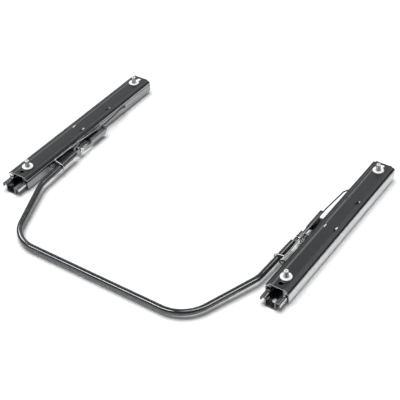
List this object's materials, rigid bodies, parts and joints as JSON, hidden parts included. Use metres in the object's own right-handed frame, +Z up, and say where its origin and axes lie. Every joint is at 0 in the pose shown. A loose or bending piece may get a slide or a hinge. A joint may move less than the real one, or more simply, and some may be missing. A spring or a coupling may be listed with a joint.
{
  "type": "seat slide rail",
  "caption": "Pair of ball-bearing seat slide rails with threaded studs, spring-loaded latch levers and a bent tube release bar that lifts to free both latches.",
  "frame": {"origin": "on the floor, midway between the four floor bolt holes", "axes": "X across the car, +Y to the rear of the rails, +Z up"},
  "size_m": [0.5954, 0.5094, 0.0421],
  "materials": {
    "dark_steel": "dull rolled steel",
    "black_steel": "satin black paint",
    "zinc_sheet": "bright zinc plate",
    "zinc_stud": "bright zinc plate",
    "zinc_washer": "bright zinc plate",
    "cage_plastic": "moulded",
    "ball_steel": "ground",
    "spring_steel": "drawn wire",
    "bar_paint": "gloss black paint"
  },
  "bodies": {
    "floor_rails": {"left_lower_rail": "dark_steel", "right_lower_rail": "dark_steel"},
    "carriage": {"left_cover": "black_steel", "left_inner_channel": "zinc_sheet", "left_outer_channel": "zinc_sheet", "left_studs": "zinc_stud", "left_washers": "zinc_washer", "left_bracket": "zinc_sheet", "left_pivot_rivet": "zinc_stud", "left_spacer": "zinc_stud", "left_spring_wire": "spring_steel", "left_wire_clip": "zinc_sheet", "right_cover": "black_steel", "right_inner_channel": "zinc_sheet", "right_outer_channel": "zinc_sheet", "right_studs": "zinc_stud", "right_washers": "zinc_washer", "right_bracket": "zinc_sheet", "right_pivot_rivet": "zinc_stud", "right_spacer": "zinc_stud", "right_spring_wire": "spring_steel", "right_wire_clip": "zinc_sheet"},
    "bearings": {"left_small_cages": "cage_plastic", "left_small_balls": "ball_steel", "left_large_cages": "cage_plastic", "left_large_balls": "ball_steel", "right_small_cages": "cage_plastic", "right_small_balls": "ball_steel", "right_large_cages": "cage_plastic", "right_large_balls": "ball_steel"},
    "release": {"left_latch_lever": "zinc_sheet", "right_latch_lever": "zinc_sheet", "release_bar": "bar_paint"}
  },
  "joints": [
    {"name": "seat_slide", "type": "slide", "parent": "floor_rails", "child": "carriage", "axis": [0, 1, 0], "range_m": [-0.1, 0.05]},
    {"name": "bar_lift", "type": "hinge", "parent": "carriage", "child": "release", "pos_m": [0, -0.033, 0.0143], "axis": [-1, 0, 0], "range_deg": [-1.2, 3], "stiffness_Nm_per_rad": 20, "springref_deg": -3.44, "deforming": ["left_spring_wire", "right_spring_wire"]},
    {"name": "bearing_roll", "type": "slide", "parent": "floor_rails", "child": "bearings", "axis": [0, 1, 0], "range_m": [-0.05, 0.025]}
  ],
  "couplings": [
    {"joint": "bearing_roll", "follows": "seat_slide", "ratio": 0.5}
  ]
}
